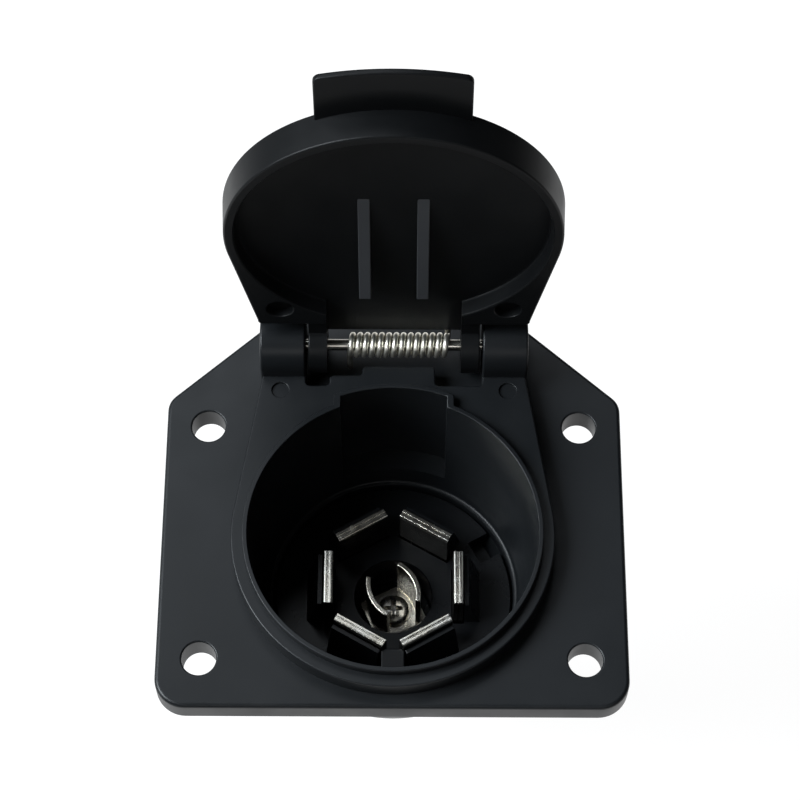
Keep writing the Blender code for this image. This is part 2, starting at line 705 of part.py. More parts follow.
def make_centre_contact(finish):
    """A base washer under the screw and two curved leaves that grip the plug's pin."""
    base_top = CENTRE_HEAD_TOP - CENTRE_HEAD_HEIGHT - 0.15
    base = box("centre_contact", (-PRONG_OFFSET - 0.3, -PRONG_HALF_WIDTH, base_top - BASE_THICK),
               (PRONG_OFFSET + 0.3, PRONG_HALF_WIDTH, base_top))
    sweep = math.degrees(math.asin(PRONG_HALF_WIDTH / PRONG_RADIUS))
    for side in (0.0, 180.0):
        middle = polar(PRONG_OFFSET - PRONG_RADIUS, side)
        ring = arc(middle, PRONG_RADIUS, side - sweep, side + sweep, 8)
        ring += arc(middle, PRONG_RADIUS - PRONG_THICK, side + sweep, side - sweep, 8)
        join(base, slab("prong", ring, base_top - 0.4, PRONG_TIP))
    cut(base, rod("base_hole", CENTRE_SHANK + GAP, (0.0, 0.0, base_top - 3.0),
                  (0.0, 0.0, base_top + 1.0), 16))
    turn_about_bore(base, PRONG_TURN)
    return publish(base, finish)


def make_nut(finish):
    top = HUB_BOTTOM - GAP
    nut = rod("centre_nut", NUT_RADIUS, (0.0, 0.0, top - NUT_HEIGHT), (0.0, 0.0, top), 6)
    round_edges(nut, 0.2, 1)
    cut(nut, rod("nut_hole", CENTRE_SHANK + GAP, (0.0, 0.0, top - NUT_HEIGHT - 1.0),
                 (0.0, 0.0, top + 1.0), 16))
    return publish(nut, finish)


def make_rear_cover(finish):
    rim_bottom = COVER_TOP - COVER_RIM
    inner = COVER_SHOULDER - COVER_WALL + 0.3
    cover = turned("rear_cover", [
        (inner, COVER_TOP), (COVER_RIM_RADIUS, COVER_TOP), (COVER_RIM_RADIUS, rim_bottom),
        (COVER_BARREL, rim_bottom), (COVER_SHOULDER, COVER_SHOULDER_Z),
        (COVER_NECK + 1.4, COVER_NECK_TOP), (COVER_NECK, COVER_NECK_TOP - 1.2),
        (COVER_NECK, COVER_BOTTOM), (OUTLET_RADIUS, COVER_BOTTOM),
        (OUTLET_RADIUS, COVER_NECK_TOP - 0.6), (COVER_NECK + 1.4 - COVER_WALL, COVER_NECK_TOP + 1.2),
        (inner, COVER_SHOULDER_Z + 0.8)], steps=48)
    for x in (-LUG_X, LUG_X):
        join(cover, rod("cover_lug", LUG_RADIUS, (x, 0.0, rim_bottom), (x, 0.0, COVER_TOP), 24))
        low, high = sorted((math.copysign(COVER_BARREL - 1.0, x), x))
        join(cover, box("cover_web", (low, 0.3 - LUG_RADIUS, rim_bottom + 0.15),
                        (high, LUG_RADIUS - 0.3, COVER_TOP - 0.15)))
        cut(cover, rod("cover_hole", COVER_SCREW_SHANK + GAP, (x, 0.0, rim_bottom - 1.0),
                       (x, 0.0, COVER_TOP + 1.0), 12))
    return publish(cover, finish)


def make_grommet(finish):
    outer = OUTLET_RADIUS - GAP
    collar_top = COVER_BOTTOM - GAP
    bottom = collar_top - GROMMET_COLLAR
    grommet = turned("cable_grommet", [
        (GROMMET_BORE, GROMMET_TOP), (outer, GROMMET_TOP), (outer, collar_top),
        (COVER_NECK - 1.0, collar_top), (COVER_NECK - 1.5, bottom + 0.8),
        (GROMMET_BORE + 1.2, bottom), (GROMMET_BORE, bottom)], steps=36)
    return publish(grommet, finish)


def main():
    clear_scene()
    new_collection(COLLECTION)
    new_collection(CUTTERS)
    make_housing(material("housing_plastic", BLACK_PLASTIC, 0.42, 0.0))
    make_lid(material("lid_plastic", BLACK_PLASTIC, 0.42, 0.0))
    make_pin(material("pin_steel", (0.55, 0.54, 0.50), 0.28, 1.0))
    make_spring(material("spring_steel", (0.60, 0.58, 0.52), 0.25, 1.0))
    make_carrier(material("carrier_plastic", (0.014, 0.015, 0.018), 0.38, 0.0))
    for index in range(BLADE_COUNT):
        make_blade(index, material("blade_tin_%d" % (index + 1), (0.62, 0.60, 0.55), 0.25, 1.0))
        x, y = polar(SCREW_RADIUS, index * 360.0 / BLADE_COUNT)
        make_screw("terminal_screw_%d" % (index + 1), material("terminal_steel", (0.6, 0.6, 0.58), 0.3, 1.0),
                   TERMINAL_SCREW_HEAD, TERMINAL_SCREW_SHANK, TERMINAL_SCREW_HEIGHT,
                   TERMINAL_SCREW_LENGTH, (x, y, BLADE_SHOULDER - TERMINAL_THICK - GAP), True)
    make_centre_contact(material("centre_brass", (0.66, 0.62, 0.52), 0.25, 1.0))
    make_screw("centre_screw", material("centre_steel", (0.60, 0.60, 0.58), 0.25, 1.0), CENTRE_HEAD_RADIUS,
               CENTRE_SHANK, CENTRE_HEAD_HEIGHT, CENTRE_LENGTH,
               (0.0, 0.0, CENTRE_HEAD_TOP - CENTRE_HEAD_HEIGHT), False, 24)
    make_nut(material("nut_steel", (0.60, 0.60, 0.58), 0.3, 1.0))
    make_rear_cover(material("cover_plastic", BLACK_PLASTIC, 0.45, 0.0))
    make_grommet(material("grommet_rubber", (0.02, 0.02, 0.02), 0.7, 0.0))
    for index, x in enumerate((-LUG_X, LUG_X)):
        make_screw("cover_screw_%d" % (index + 1), material("cover_steel", (0.5, 0.5, 0.5), 0.35, 1.0),
                   COVER_SCREW_HEAD, COVER_SCREW_SHANK, COVER_SCREW_HEIGHT, COVER_SCREW_LENGTH,
                   (x, 0.0, COVER_TOP - COVER_RIM - GAP), True)


main()
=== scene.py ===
import json
import math

import bmesh
import bpy
from mathutils import Matrix, Vector


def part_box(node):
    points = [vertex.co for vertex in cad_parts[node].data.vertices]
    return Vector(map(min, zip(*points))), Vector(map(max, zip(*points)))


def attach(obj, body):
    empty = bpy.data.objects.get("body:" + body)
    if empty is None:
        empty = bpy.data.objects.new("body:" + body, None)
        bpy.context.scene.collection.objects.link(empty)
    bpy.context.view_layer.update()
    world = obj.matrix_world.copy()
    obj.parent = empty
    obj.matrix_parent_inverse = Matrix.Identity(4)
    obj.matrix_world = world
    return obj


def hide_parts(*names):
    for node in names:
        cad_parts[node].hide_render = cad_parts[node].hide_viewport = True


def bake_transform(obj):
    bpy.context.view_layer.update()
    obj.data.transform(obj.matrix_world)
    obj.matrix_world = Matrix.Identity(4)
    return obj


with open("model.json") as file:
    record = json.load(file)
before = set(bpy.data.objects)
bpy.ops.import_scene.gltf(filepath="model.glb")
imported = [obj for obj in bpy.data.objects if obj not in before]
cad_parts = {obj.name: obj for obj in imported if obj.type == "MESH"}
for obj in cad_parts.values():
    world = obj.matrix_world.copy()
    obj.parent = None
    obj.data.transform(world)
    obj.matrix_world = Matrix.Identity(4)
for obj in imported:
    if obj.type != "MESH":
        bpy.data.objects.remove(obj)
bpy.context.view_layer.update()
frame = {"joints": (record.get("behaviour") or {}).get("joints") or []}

# Looks for a flange-mounted trailer socket with a spring lid. Lengths are millimetres, except
# on the stage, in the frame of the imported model: origin where the bore axis crosses the flange's back face,
# +Z out of the bore, +Y towards the hinge. Outlines repeat the driving dimensions of the part.

MM = 0.001


def edges_of(node):
    """Lowest and highest corner of a node of the frame, in millimetres."""
    low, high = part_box(node)
    return low / MM, high / MM


HOUSING_LOW, HOUSING_HIGH = edges_of("socket_housing")
COVER_LOW, COVER_HIGH = edges_of("rear_cover")
GROMMET_LOW, GROMMET_HIGH = edges_of("cable_grommet")
CARRIER_LOW, CARRIER_HIGH = edges_of("contact_carrier")
PIN_LOW, PIN_HIGH = edges_of("hinge_pin")
BLADE_LOW, BLADE_HIGH = edges_of("contact_blade_1")
JOINT = frame["joints"][0]
HINGE = Vector(JOINT["pos_m"]) / MM
OPEN_ANGLE = JOINT["range_deg"][1]

# flange and collar
FLANGE_TOP = 5.0
FLANGE_FRONT = -28.6
FLANGE_BACK = 41.0
FLANGE_HALF = HOUSING_HIGH.x
CHAMFER_START = 25.6
CHAMFER_HALF_TOP = 20.8
BOLT_HOLES = [(x, y) for x in (-31.0, 31.0) for y in (-20.4, 20.9)]
BOLT_RADIUS = 2.8
COLLAR_TOP = 8.7
COLLAR_RADIUS = 26.4
WING_HALF = 22.2
WING_CORNER = 28.7
WING_BACK = 38.4
POCKET_FRONT = 26.8
POCKET_LEFT = -10.8
SEAT_BACK = 30.4
SEAT_LEFT = -5.3
SEAT_RIGHT = 6.9
MARK = (19.0, 25.9)
MARK_RADIUS = 1.45

# lip, bore and keyway
LIP_TOP = 10.4
LIP_RADIUS = 24.45
KEY_LIP_HALF = 10.0
KEY_LIP_RADIUS = 26.3
BORE_RADIUS = 23.65
KEY_HALF = 8.85
KEY_RADIUS = 25.55
KEY_BOTTOM = -14.0
LIP_ROUND = 0.16
BODY_PROFILE = [(26.4, 2.5), (26.4, -5.5), (22.6, -17.6), (20.7, -23.0), (19.2, -27.1), (18.8, -27.5)]
LUG_X = 23.4
LUG_RADIUS = 3.4

# hinge
KNUCKLE_RADIUS = 5.1
KNUCKLE_INNER = 14.75
KNUCKLE_OUTER = 22.32
PIN_RADIUS = PIN_HIGH.z - HINGE.z
PIN_HOLE = 1.25
EAR_INNER = 11.15
EAR_OUTER = 14.25
EAR_RADIUS = 4.7

# lid, drawn shut: s runs from the hinge to the tab, n from the outer face to the socket
LID_CENTRE = 33.5
LID_RADIUS = 26.6
LID_BACK_RADIUS = 26.9
LID_TOP = -4.7
LID_CEILING = -1.7
LID_EDGE = 1.3
LID_CAVITY = 24.9
LID_CORNER_HALF = 22.6
LID_CORNER_S = 8.4
LID_BRIDGE_S = 2.2
RIB_X = 4.65
RIB_HALF = 0.95
RIB_SPAN = (16.2, 40.0)
TAB_HALF = 11.8
TAB_END = 68.9
TAB_ARC = 46.0
TAB_FACE = -3.5
RECESS = (18.6, 13.0)
RECESS_RADIUS = 2.2

# spring
WIRE_RADIUS = 0.5
COIL_RADIUS = 1.68
COIL_TURNS = 13.5
COIL_SPAN = (-7.4, 9.0)
WELL_FLOOR = 5.25

# contacts; screw sizes are head height and shank radius
BLADE_COUNT = 6
BLADE_APOTHEM = 11.05
BLADE_HALF_THICK = 0.85
BLADE_HALF_WIDTH = BLADE_HIGH.y
FOOT_INNER = BLADE_LOW.x
FOOT_HALF = 2.6
FOOT_THICK = 1.4
SCREW_RING = 8.0
SCREW_SIZES = {"centre": (1.6, 1.5), "terminal": (1.5, 1.3), "cover": (1.4, 1.3)}
LEAF_TURN = 26.0

# heights between which the contacts carry painted shade: a dark tone standing in for the shade and dark
# reflections down in the bore; above and below them the plating keeps its own bright colour
BLADE_SHADE_TOP = -10.6
BLADE_SHADE_BOTTOM = -40.0
LEAF_SHADE_TOP = -15.75
LEAF_SHADE_BOTTOM = -25.7


# ---------------------------------------------------------------- solids

def arc(centre, radius, start, end, steps):
    """Points along an arc, angles in degrees."""
    turns = [math.radians(start + (end - start) * step / steps) for step in range(steps + 1)]
    return [(centre[0] + radius * math.cos(a), centre[1] + radius * math.sin(a)) for a in turns]


def circle(radius, centre=(0.0, 0.0), steps=48):
    return arc(centre, radius, 0.0, 360.0, steps)[:-1]


def polar(radius, angle):
    return radius * math.cos(math.radians(angle)), radius * math.sin(math.radians(angle))


def rounded(corners, steps=8):
    """Round a polygon whose corners are (x, y, radius)."""
    points = []
    for index, (x, y, radius) in enumerate(corners):
        if radius == 0.0:
            points.append((x, y))
            continue
        here = Vector((x, y))
        to_last = (Vector(corners[index - 1][:2]) - here).normalized()
        to_next = (Vector(corners[(index + 1) % len(corners)][:2]) - here).normalized()
        half = 0.5 * to_last.angle(to_next)
        centre = here + (to_last + to_next).normalized() * radius / math.sin(half)
        start = here + to_last * radius / math.tan(half) - centre
        finish = here + to_next * radius / math.tan(half) - centre
        sweep = start.angle_signed(finish)
        for step in range(steps + 1):
            points.append(tuple(centre + Matrix.Rotation(-sweep * step / steps, 2) @ start))
    return points


def new_object(name, bm):
    """A scene object from a bmesh in millimetres, its faces pointing out."""
    bmesh.ops.remove_doubles(bm, verts=bm.verts, dist=0.001)
    bmesh.ops.recalc_face_normals(bm, faces=bm.faces)
    bm.transform(Matrix.Scale(MM, 4))
    mesh = bpy.data.meshes.new(name)
    bm.to_mesh(mesh)
    bm.free()
    made = bpy.data.objects.new(name, mesh)
    bpy.context.scene.collection.objects.link(made)
    return made


def plate(name, outlines, low, high, edge=0.0):
    """Outlines in x and y, the first the rim and the rest holes, extruded with rounded rims."""
    data = bpy.data.curves.new(name, "CURVE")
    data.dimensions = "2D"
    data.fill_mode = "BOTH"
    data.extrude = 0.5 * (high - low) - edge
    data.bevel_depth = edge
    data.bevel_resolution = 3
    data.offset = -edge
    for outline in outlines:
        spline = data.splines.new("POLY")
        spline.points.add(len(outline) - 1)
        for point, (x, y) in zip(spline.points, outline):
            point.co = (x, y, 0.0, 1.0)
        spline.use_cyclic_u = True
    holder = bpy.data.objects.new(name, data)
    bpy.context.scene.collection.objects.link(holder)
    holder.location.z = 0.5 * (low + high)
    bpy.context.view_layer.update()
    evaluated = holder.evaluated_get(bpy.context.evaluated_depsgraph_get())
    bm = bmesh.new()
    bm.from_mesh(bpy.data.meshes.new_from_object(evaluated))
    bm.transform(holder.matrix_world)
    bmesh.ops.remove_doubles(bm, verts=bm.verts, dist=0.0005)
    bmesh.ops.dissolve_limit(bm, angle_limit=0.001, verts=bm.verts, edges=bm.edges)
    bpy.data.objects.remove(holder, do_unlink=True)
    return new_object(name, bm)


def loft(name, rings, closed=False):
    """Skin rings of points, capping the ends unless the last ring joins the first."""
    bm = bmesh.new()
    rows = [[bm.verts.new(point) for point in ring] for ring in rings]
    pairs = list(zip(rows, rows[1:])) + ([(rows[-1], rows[0])] if closed else [])
    for lower, upper in pairs:
        for index in range(len(lower)):
            after = (index + 1) % len(lower)
            bm.faces.new((lower[index], lower[after], upper[after], upper[index]))
    if not closed:
        bm.faces.new(rows[0])
        bm.faces.new(rows[-1])
    return new_object(name, bm)


def turned(name, profile, steps=128, closed=False, centre=(0.0, 0.0)):
    """Turn a profile of (radius, height) about a line along Z."""
    rings = []
    for radius, height in profile:
        rings.append([(x, y, height) for x, y in circle(radius, centre, steps)])
    return loft(name, rings, closed)


def moved(item, matrix):
    """Change where a solid's mesh lies; the matrix is in millimetres."""
    scaled = matrix.copy()
    scaled.translation *= MM
    item.data.transform(scaled)
    return item


def spun(item, angle):
    return moved(item, Matrix.Rotation(math.radians(angle), 4, "Z"))


def along_x(name, outline, low, high, edge, holes=()):
    """A plate drawn in y and z and extruded along X."""
    flat = plate(name, [outline, *holes], low, high, edge)
    return moved(flat, Matrix(((0, 0, 1, 0), (1, 0, 0, 0), (0, 1, 0, 0), (0, 0, 0, 1))))


def shape(item, others, operation):
    """Join the others to a solid, or cut them from it, and use them up."""
    for other in others:
        change = item.modifiers.new(other.name, "BOOLEAN")
        change.operation = operation
        change.solver = "EXACT"
        change.object = other
    bpy.context.view_layer.update()
    evaluated = item.evaluated_get(bpy.context.evaluated_depsgraph_get())
    mesh = bpy.data.meshes.new_from_object(evaluated)
    item.modifiers.clear()
    item.data = mesh
    for other in others:
        bpy.data.objects.remove(other, do_unlink=True)
    return item


def join(item, *others):
    return shape(item, others, "UNION")


def cut(item, *others):
    return shape(item, others, "DIFFERENCE")


def flared(radius, centre, low, top, edge):
    """A round cutter that leaves a rounded rim where it comes out of a face at the top."""
    profile = [(0.0, low), (radius, low)]
    for angle in (0.0, 18.0, 36.0, 54.0, 70.0, 83.0):
        turn = math.radians(angle)
        profile.append((radius + edge * (1.0 - math.cos(turn)), top - edge * (1.0 - math.sin(turn))))
    rise = 0.05
    profile.append((profile[-1][0] + rise * math.tan(math.radians(83.0)), profile[-1][1] + rise))
    profile.append((profile[-1][0], profile[-1][1] + 0.4))
    profile.append((0.0, profile[-1][1]))
    steps = 48
    rings = [[(centre[0], centre[1], z)] * steps if r == 0.0 else
             [(x, y, z) for x, y in circle(r, centre, steps)] for r, z in profile]
    bm = bmesh.new()
    rows = [[bm.verts.new(point) for point in ring] for ring in rings]
    for lower, upper in zip(rows, rows[1:]):
        for index in range(steps):
            after = (index + 1) % steps
            bm.faces.new((lower[index], lower[after], upper[after], upper[index]))
    return new_object("flared", bm)


# ---------------------------------------------------------------- materials

def shader_tree(name, colour, roughness, metallic=0.0, specular=0.5):
    """A new material with its node tree and Principled shader."""
    made = bpy.data.materials.new(name)
    made.use_nodes = True
    tree = made.node_tree
    shader = tree.nodes["Principled BSDF"]
    shader.inputs["Base Color"].default_value = (*colour, 1.0)
    shader.inputs["Roughness"].default_value = roughness
    shader.inputs["Metallic"].default_value = metallic
    shader.inputs["Specular IOR Level"].default_value = specular
    return made, tree, shader


def node(tree, kind, **values):
    made = tree.nodes.new(kind)
    for key, value in values.items():
        if key in made.inputs:
            made.inputs[key].default_value = value
        else:
            setattr(made, key, value)
    return made


def noise(tree, scale, detail=4.0, stretch=None):
    """Noise in the part's own frame, its scale in features per metre."""
    place = tree.nodes.new("ShaderNodeTexCoord")
    output = place.outputs["Object"]
    if stretch:
        mapping = tree.nodes.new("ShaderNodeMapping")
        mapping.inputs["Scale"].default_value = stretch
        tree.links.new(output, mapping.inputs["Vector"])
        output = mapping.outputs["Vector"]
    made = node(tree, "ShaderNodeTexNoise", Scale=scale, Detail=detail)
    tree.links.new(output, made.inputs["Vector"])
    return made.outputs["Fac"]


def spread(tree, value, low, high, start=0.3, end=0.7):
    """Map a noise value onto a range."""
    ramp = node(tree, "ShaderNodeMapRange")
    ramp.inputs["From Min"].default_value = start
    ramp.inputs["From Max"].default_value = end
    ramp.inputs["To Min"].default_value = low
    ramp.inputs["To Max"].default_value = high
    tree.links.new(value, ramp.inputs["Value"])
    return ramp.outputs["Result"]


def blended(tree, factor, first, second):
    """Mix two colours by a factor; the first may be another node's output."""
    mix = node(tree, "ShaderNodeMix", data_type="RGBA")
    ends = [socket for socket in mix.inputs if socket.type == "RGBA"]
    if isinstance(first, bpy.types.NodeSocket):
        tree.links.new(first, ends[0])
    else:
        ends[0].default_value = (*first, 1.0)
    ends[1].default_value = (*second, 1.0)
    tree.links.new(factor, mix.inputs["Factor"])
    return next(socket for socket in mix.outputs if socket.type == "RGBA")


def product(tree, first, second):
    made = node(tree, "ShaderNodeMath", operation="MULTIPLY")
    tree.links.new(first, made.inputs[0])
    tree.links.new(second, made.inputs[1])
    return made.outputs["Value"]


def bumped(tree, shader, layers):
    """Chain bumps of (height, strength, distance in metres) into the shader's normal."""
    last = None
    for height, strength, distance in layers:
        bump = node(tree, "ShaderNodeBump", Strength=strength, Distance=distance)
        tree.links.new(height, bump.inputs["Height"])
        if last:
            tree.links.new(last, bump.inputs["Normal"])
        last = bump.outputs["Normal"]
    tree.links.new(last, shader.inputs["Normal"])


def moulded_plastic(name, dark, light, smooth, rough, grain, gloss=0.25):
    """Moulded plastic: fine tool grain over faint flow marks."""
    made, tree, shader = shader_tree(name, dark, 0.5 * (smooth + rough), specular=gloss)
    flow = noise(tree, 45.0, 3.0)
    tree.links.new(blended(tree, spread(tree, flow, 0.0, 1.0), dark, light), shader.inputs["Base Color"])
    patchy = spread(tree, noise(tree, 110.0, 5.0), smooth, rough)
    tree.links.new(patchy, shader.inputs["Roughness"])
    bumped(tree, shader, [(noise(tree, 3800.0, 2.0), grain, 0.00002),
                          (noise(tree, 900.0, 3.0), 0.5 * grain, 0.00004)])
    return made


def drawn_metal(name, colour, tint, smooth, rough, stretch, scratch):
    """Metal with fine lines along its working direction and slight tarnish."""
    made, tree, shader = shader_tree(name, colour, 0.5 * (smooth + rough), 1.0)
    cloud = noise(tree, 260.0, 4.0)
    tree.links.new(blended(tree, spread(tree, cloud, 0.0, 1.0), colour, tint), shader.inputs["Base Color"])
    lines = noise(tree, 900.0, 4.0, stretch)
    tree.links.new(spread(tree, lines, smooth, rough), shader.inputs["Roughness"])
    bumped(tree, shader, [(lines, scratch, 0.00001)])
    return made


def metal_with_painted_shade(name, bright, painted_shade, top, bottom, tint):
    """Plated strip, bright along its tip, with painted shade between two heights in millimetres below it: a
    dark tone standing in for the shade and dark reflections down in the bore.
    """
    made, tree, shader = shader_tree(name, bright, 0.24, 1.0)
    place = tree.nodes.new("ShaderNodeTexCoord")
    parts = tree.nodes.new("ShaderNodeSeparateXYZ")
    tree.links.new(place.outputs["Object"], parts.inputs["Vector"])
    fade = 0.25
    below = spread(tree, parts.outputs["Z"], 0.0, 1.0, top * MM, (top - fade) * MM)
    above = spread(tree, parts.outputs["Z"], 0.0, 1.0, bottom * MM, (bottom + fade) * MM)
    # mask of the painted shade band, varied a little by noise
    patchy = product(tree, product(tree, below, above),
                     spread(tree, noise(tree, 420.0, 3.0), 0.8, 1.0))
    cloud = blended(tree, spread(tree, noise(tree, 260.0, 4.0), 0.0, 1.0), bright, tint)
    tree.links.new(blended(tree, patchy, cloud, painted_shade), shader.inputs["Base Color"])
    lines = noise(tree, 900.0, 4.0, (1.0, 1.0, 0.08))
    tree.links.new(spread(tree, lines, 0.16, 0.28), shader.inputs["Roughness"])
    bumped(tree, shader, [(lines, 0.12, 0.00001)])
    return made


def rubber(name):
    made, tree, shader = shader_tree(name, (0.018, 0.018, 0.019), 0.75)
    dust = spread(tree, noise(tree, 160.0, 5.0), 0.0, 1.0)
    tree.links.new(blended(tree, dust, (0.014, 0.014, 0.015), (0.03, 0.03, 0.031)),
                   shader.inputs["Base Color"])
    tree.links.new(spread(tree, noise(tree, 500.0, 4.0), 0.62, 0.85), shader.inputs["Roughness"])
    bumped(tree, shader, [(noise(tree, 2600.0, 3.0), 0.35, 0.00003)])
    return made


SHELL_PLASTIC = moulded_plastic("shell_plastic", (0.0050, 0.0058, 0.0067), (0.0070, 0.0080, 0.0092),
                                0.34, 0.46, 0.16)
LID_PLASTIC = moulded_plastic("lid_plastic", (0.0030, 0.0033, 0.0037), (0.0042, 0.0046, 0.0051),
                              0.36, 0.48, 0.18, 0.16)
# paler plastic for the ribs inside the lid
PALE_RIB_PLASTIC = moulded_plastic("pale_rib_plastic", (0.030, 0.032, 0.035), (0.040, 0.042, 0.046),
                                 0.40, 0.52, 0.20)
CARRIER_PLASTIC = moulded_plastic("carrier_plastic", (0.0036, 0.0040, 0.0048), (0.0052, 0.0057, 0.0066),
                                  0.24, 0.34, 0.10)
COVER_PLASTIC = moulded_plastic("cover_plastic", (0.0060, 0.0066, 0.0074), (0.0085, 0.0092, 0.0102),
                                0.42, 0.56, 0.22)
# blades and leaves: painted shade below their tips stands in for the dark bore and well around them
TIN = metal_with_painted_shade("tinned_brass", (0.86, 0.84, 0.78), (0.07, 0.064, 0.055), BLADE_SHADE_TOP,
                   BLADE_SHADE_BOTTOM, (0.74, 0.69, 0.59))
LEAF_TIN = metal_with_painted_shade("leaf_tin", (0.84, 0.81, 0.74), (0.05, 0.045, 0.038), LEAF_SHADE_TOP,
                        LEAF_SHADE_BOTTOM, (0.72, 0.66, 0.55))
NICKEL = drawn_metal("nickel_plate", (0.76, 0.74, 0.70), (0.62, 0.58, 0.51), 0.20, 0.34,
                     (1.0, 1.0, 1.0), 0.20)
SPRING_STEEL = drawn_metal("spring_wire", (0.90, 0.88, 0.80), (0.78, 0.74, 0.64), 0.32, 0.44,
                           (1.0, 1.0, 1.0), 0.15)
PIN_STEEL = drawn_metal("pin_steel", (0.70, 0.68, 0.62), (0.55, 0.52, 0.46), 0.20, 0.32,
                        (0.06, 1.0, 1.0), 0.20)
RUBBER = rubber("moulded_rubber")


def dressed(item, finish, body, slot, *stands_for, sharp=32.0):
    """Give a piece its material, smooth shading, body and the nodes that it stands for."""
    mesh = item.data
    mesh.materials.clear()
    mesh.materials.append(finish)
    mesh.shade_smooth()
    mesh.set_sharp_from_angle(angle=math.radians(sharp))
    weighted = item.modifiers.new("even_shading", "WEIGHTED_NORMAL")
    weighted.keep_sharp = True
    weighted.weight = 90
    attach(item, body)
    if stands_for:
        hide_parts(*stands_for)
    return item


# ---------------------------------------------------------------- housing

def keyed_outline(radius, half, key_radius, steps=160):
    """A circle with a wider arc over the keyway, on its hinge side."""
    limit = math.degrees(math.acos(half / radius))
    key_limit = math.degrees(math.acos(half / key_radius))
    points = arc((0.0, 0.0), radius, 180.0 - limit, 360.0 + limit, steps)
    return points + arc((0.0, 0.0), key_radius, key_limit, 180.0 - key_limit, 24)


def tear_arc(radius, corner_half, corner_away, steps=128):
    """The round part of an outline whose sides run on as tangents to two corners."""
    reach = math.hypot(corner_half, corner_away)
    tangent = math.degrees(math.atan2(corner_away, corner_half) - math.acos(radius / reach))
    return arc((0.0, 0.0), radius, 180.0 - tangent, 360.0 + tangent, steps)


def flange_plate():
    outline = rounded([
        (-FLANGE_HALF, FLANGE_FRONT, 5.0), (FLANGE_HALF, FLANGE_FRONT, 5.0),
        (FLANGE_HALF, CHAMFER_START, 3.5), (CHAMFER_HALF_TOP, FLANGE_BACK, 3.5),
        (-CHAMFER_HALF_TOP, FLANGE_BACK, 3.5), (-FLANGE_HALF, CHAMFER_START, 3.5)], 12)
    return plate("socket_shell", [outline], 0.0, FLANGE_TOP, 0.7)


def collar():
    """The raised teardrop with its wings, the pockets under the ears and the seat between them."""
    inside = 0.7
    back = rounded([
        (0.0, 0.0, 0.0), (WING_HALF, WING_CORNER, 0.8), (WING_HALF, WING_BACK, 0.6),
        (KNUCKLE_INNER, WING_BACK, 0.6), (KNUCKLE_INNER, POCKET_FRONT, inside),
        (SEAT_RIGHT, POCKET_FRONT, inside), (SEAT_RIGHT, SEAT_BACK, inside),
        (SEAT_LEFT, SEAT_BACK, inside), (SEAT_LEFT, WING_CORNER, inside),
        (POCKET_LEFT, WING_CORNER, inside), (POCKET_LEFT, POCKET_FRONT, inside),
        (-KNUCKLE_INNER, POCKET_FRONT, inside), (-KNUCKLE_INNER, WING_BACK, 0.6),
        (-WING_HALF, WING_BACK, 0.6), (-WING_HALF, WING_CORNER, 0.8)], 5)[1:]
    round_part = tear_arc(COLLAR_RADIUS, WING_HALF, WING_CORNER)
    return plate("collar", [round_part + back], FLANGE_TOP - 2.0, COLLAR_TOP, 0.28)


def cavity():
    """The keyed bore with its rounded rim, the ledge, the carrier's seat and the rear opening."""
    rings = []
    for angle in (70.0, 54.0, 36.0, 18.0, 0.0):
        turn = math.radians(angle)
        out = LIP_ROUND * (1.0 - math.cos(turn))
        if angle == 70.0:
            rise = 0.4
            wide = out + rise * math.tan(turn)
            rings.append((BORE_RADIUS + wide, KEY_HALF + wide, KEY_RADIUS + wide,
                          LIP_TOP - LIP_ROUND * (1.0 - math.sin(turn)) + rise))
        rings.append((BORE_RADIUS + out, KEY_HALF + out, KEY_RADIUS + out,
                      LIP_TOP - LIP_ROUND * (1.0 - math.sin(turn))))
    rings += [(23.3, KEY_HALF, KEY_RADIUS, -5.5), (21.97, KEY_HALF, KEY_RADIUS, KEY_BOTTOM),
              (21.96, KEY_HALF, 21.96, KEY_BOTTOM - 0.02)]
    for radius, height in ((21.45, -17.1), (21.25, -17.45), (21.0, -17.6), (20.75, -17.62), (20.6, -17.78),
                           (20.6, -20.1), (18.7, -23.0), (13.9, -23.0), (13.9, -29.0)):
        rings.append((radius, KEY_HALF, radius, height))
    return loft("cavity", [[(x, y, z) for x, y in keyed_outline(r, half, key)]
                           for r, half, key, z in rings])


def rear_body():
    body = turned("rear_body", [(8.0, 2.5), *BODY_PROFILE, (8.0, -27.5)], closed=True)
    boss = plate("key_boss", [keyed_outline(20.0, 10.2, 27.0)], -15.5, 2.2, 0.4)
    solids = [body, boss]
    for sign in (-1.0, 1.0):
        solids.append(plate("lug", [circle(LUG_RADIUS, (sign * LUG_X, 0.0), 40)], -27.5, -9.0, 0.35))
        low, high = sorted((sign * 16.2, sign * LUG_X))
        web = [(low, -3.1), (high, -3.1), (high, 3.1), (low, 3.1)]
        solids.append(plate("lug_web", [web], -27.3, -10.0, 0.3))
    return solids


def knuckle(sign):
    """A round knuckle on its foot, with a rounded end and the pin's hole."""
    outline = arc((HINGE.y, HINGE.z), KNUCKLE_RADIUS, 0.0, 180.0, 48)
    outline += [(HINGE.y - KNUCKLE_RADIUS, 4.0), (HINGE.y + KNUCKLE_RADIUS, 4.0)]
    low, high = sorted((sign * KNUCKLE_INNER, sign * KNUCKLE_OUTER))
    return along_x("knuckle", outline, low, high, 0.4,
                   [circle(PIN_HOLE, (HINGE.y, HINGE.z), 32)[::-1]])


